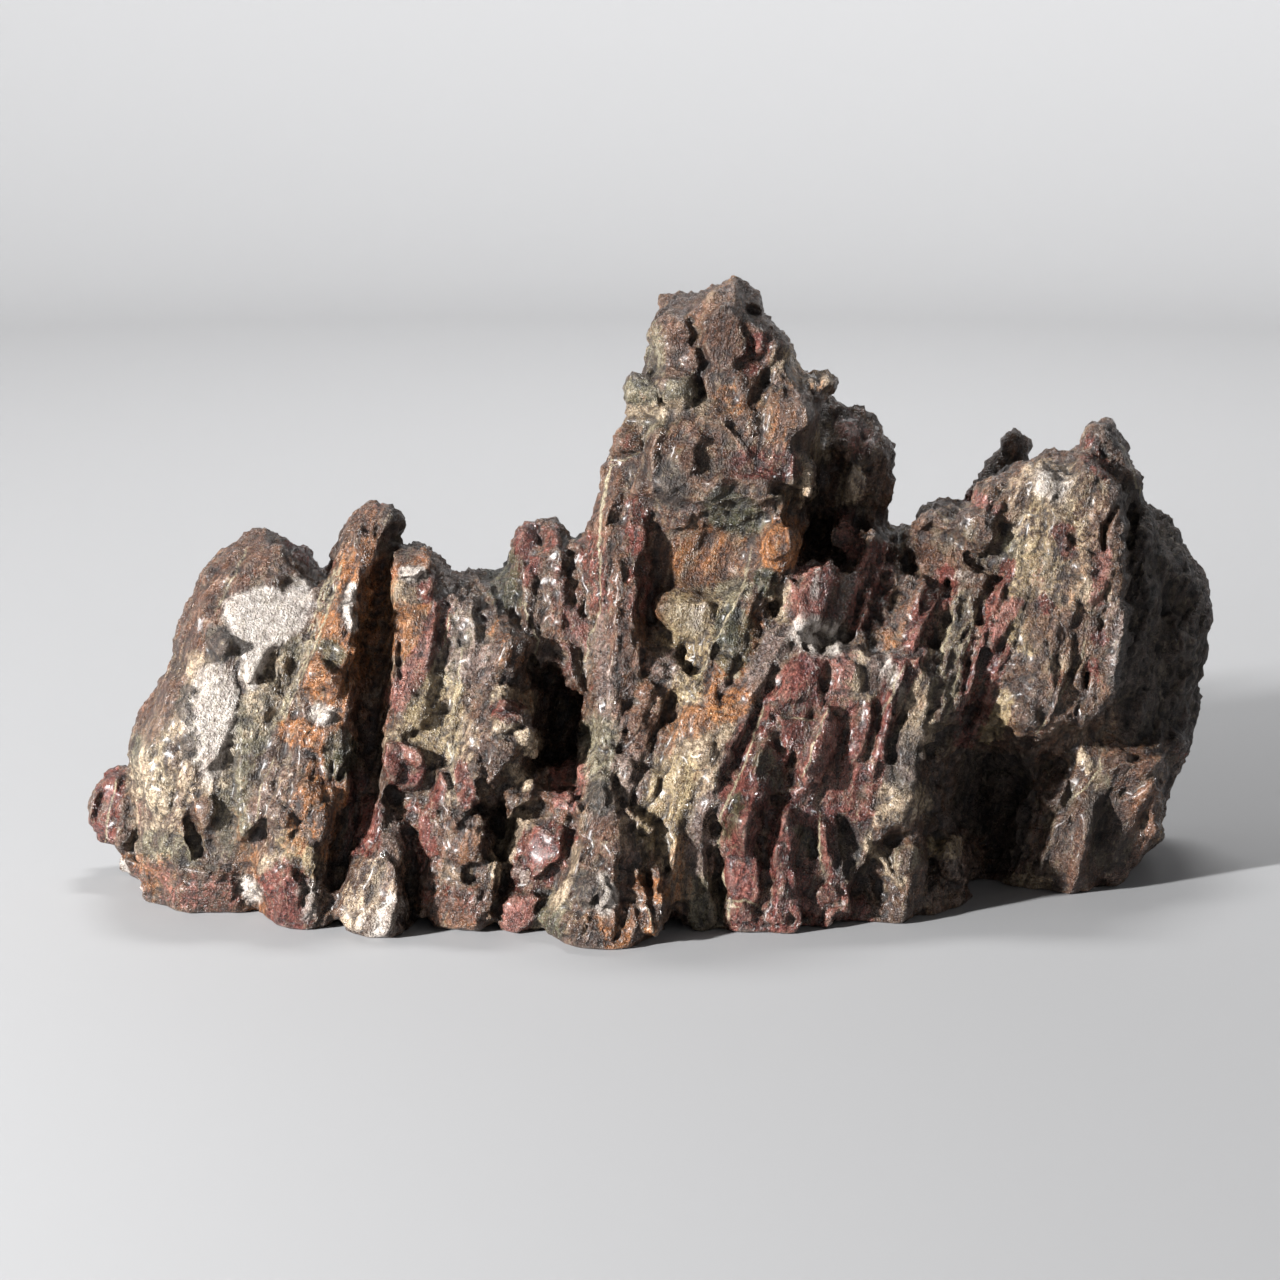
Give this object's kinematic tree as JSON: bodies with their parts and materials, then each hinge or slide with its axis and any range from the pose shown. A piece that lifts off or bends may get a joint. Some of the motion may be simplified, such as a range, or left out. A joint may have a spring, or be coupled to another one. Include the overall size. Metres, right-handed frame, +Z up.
{
  "type": "viewing stone",
  "caption": "Natural viewing stone shaped like a rugged mountain range, with a tall spire, upright ribs and clefts, standing on its flat underside.",
  "frame": {"origin": "on the resting plane, under the middle of the bounding box", "axes": "+Z up, +X along the ridge, towards the pale cliff, -Y towards the displayed face"},
  "size_m": [0.31, 0.131, 0.1669],
  "materials": {
    "stone": "rough weathered rock with an oiled sheen, banded brown, dark red, rust orange, cream and grey green"
  },
  "bodies": {
    "root": {"stone": "stone"}
  },
  "joints": []
}
